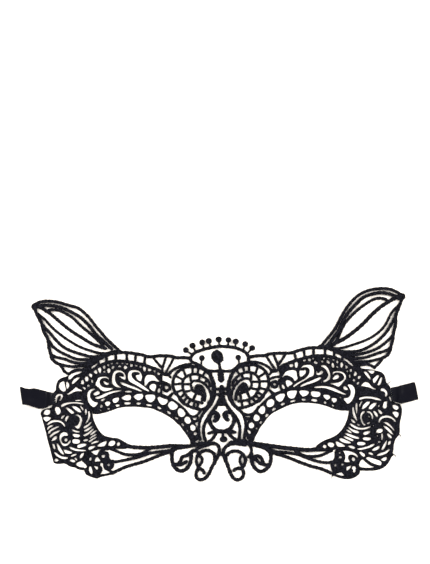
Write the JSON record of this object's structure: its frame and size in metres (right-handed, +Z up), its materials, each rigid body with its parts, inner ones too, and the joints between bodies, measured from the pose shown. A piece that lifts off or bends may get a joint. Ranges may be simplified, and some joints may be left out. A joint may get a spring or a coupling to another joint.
{
  "type": "lace cat eye mask",
  "caption": "Flat black corded-lace eye mask with pointed animal ears, a beaded crown, two eye openings and a satin ribbon tie sewn at each side.",
  "frame": {"origin": "centre of the bounding box on its underside, the surface the mask lies on", "axes": "+X to the viewer's right across the mask, +Y towards the ears and crown, +Z up out of the lace's face"},
  "size_m": [0.2266, 0.1108, 0.0046],
  "materials": {
    "lace": "matte corded embroidery thread",
    "bead": "matte wound thread knots",
    "thread": "matte sewing thread",
    "ribbon": "satin"
  },
  "bodies": {
    "centre": {"brow_inner_left": "lace", "brow_inner_right": "lace", "crown_arch": "lace", "crown_base": "lace", "crown_base_right": "lace", "crown_drop": "bead", "curl_inner_left": "lace", "curl_inner_right": "lace", "curl_outer_left": "lace", "curl_outer_right": "lace", "medallion_left": "lace", "medallion_right": "lace", "nose_bridge": "lace", "nose_heart": "lace", "nose_tip": "bead", "picot_bead_1": "bead", "picot_bead_2": "bead", "picot_bead_3": "bead", "picot_bead_4": "bead", "picot_bead_5": "bead", "picot_bead_6": "bead", "picot_bead_7": "bead", "picot_bead_8": "bead", "picot_bead_9": "bead", "picot_inner_left": "bead", "picot_inner_right": "bead", "rim_inner_left": "lace", "rim_inner_right": "lace"},
    "wing_left": {"brow_lattice_left": "lace", "brow_scroll_left": "lace", "upper_rim_left": "lace", "temple_upper_left": "lace", "temple_lower_left": "lace", "cheek_rings_left": "lace", "under_strands_left": "lace", "hem_stitches_left": "thread"},
    "ear_left": {"ear_left": "lace"},
    "ribbon_left": {"ribbon_tie_left": "ribbon", "ribbon_folds_left": "ribbon"},
    "wing_right": {"brow_lattice_right": "lace", "brow_scroll_right": "lace", "upper_rim_right": "lace", "temple_upper_right": "lace", "temple_lower_right": "lace", "cheek_rings_right": "lace", "under_strands_right": "lace", "hem_stitches_right": "thread"},
    "ear_right": {"ear_right": "lace"},
    "ribbon_right": {"ribbon_tie_right": "ribbon", "ribbon_folds_right": "ribbon"}
  },
  "joints": [
    {"name": "wing_fold_right", "type": "hinge", "parent": "centre", "child": "wing_right", "pos_m": [0.03015, -0.00887, 0.0012], "axis": [0, -1, 0], "range_deg": [0, 80]},
    {"name": "wing_fold_left", "type": "hinge", "parent": "centre", "child": "wing_left", "pos_m": [-0.02839, -0.00887, 0.0012], "axis": [0, 1, 0], "range_deg": [0, 80]},
    {"name": "ear_fold_right", "type": "hinge", "parent": "wing_right", "child": "ear_right", "pos_m": [0.06837, 0.01555, 0.0012], "axis": [0.8606, -0.5094, 0], "range_deg": [0, 45]},
    {"name": "ear_fold_left", "type": "hinge", "parent": "wing_left", "child": "ear_left", "pos_m": [-0.06704, 0.01324, 0.0012], "axis": [0.8493, 0.5278, 0], "range_deg": [0, 45]},
    {"name": "ribbon_fold_right", "type": "hinge", "parent": "wing_right", "child": "ribbon_right", "pos_m": [0.09924, -0.00526, 0.00455], "axis": [0, -1, 0], "range_deg": [0, 90]},
    {"name": "ribbon_fold_left", "type": "hinge", "parent": "wing_left", "child": "ribbon_left", "pos_m": [-0.09582, -0.00802, 0.00455], "axis": [0, 1, 0], "range_deg": [0, 90]}
  ]
}
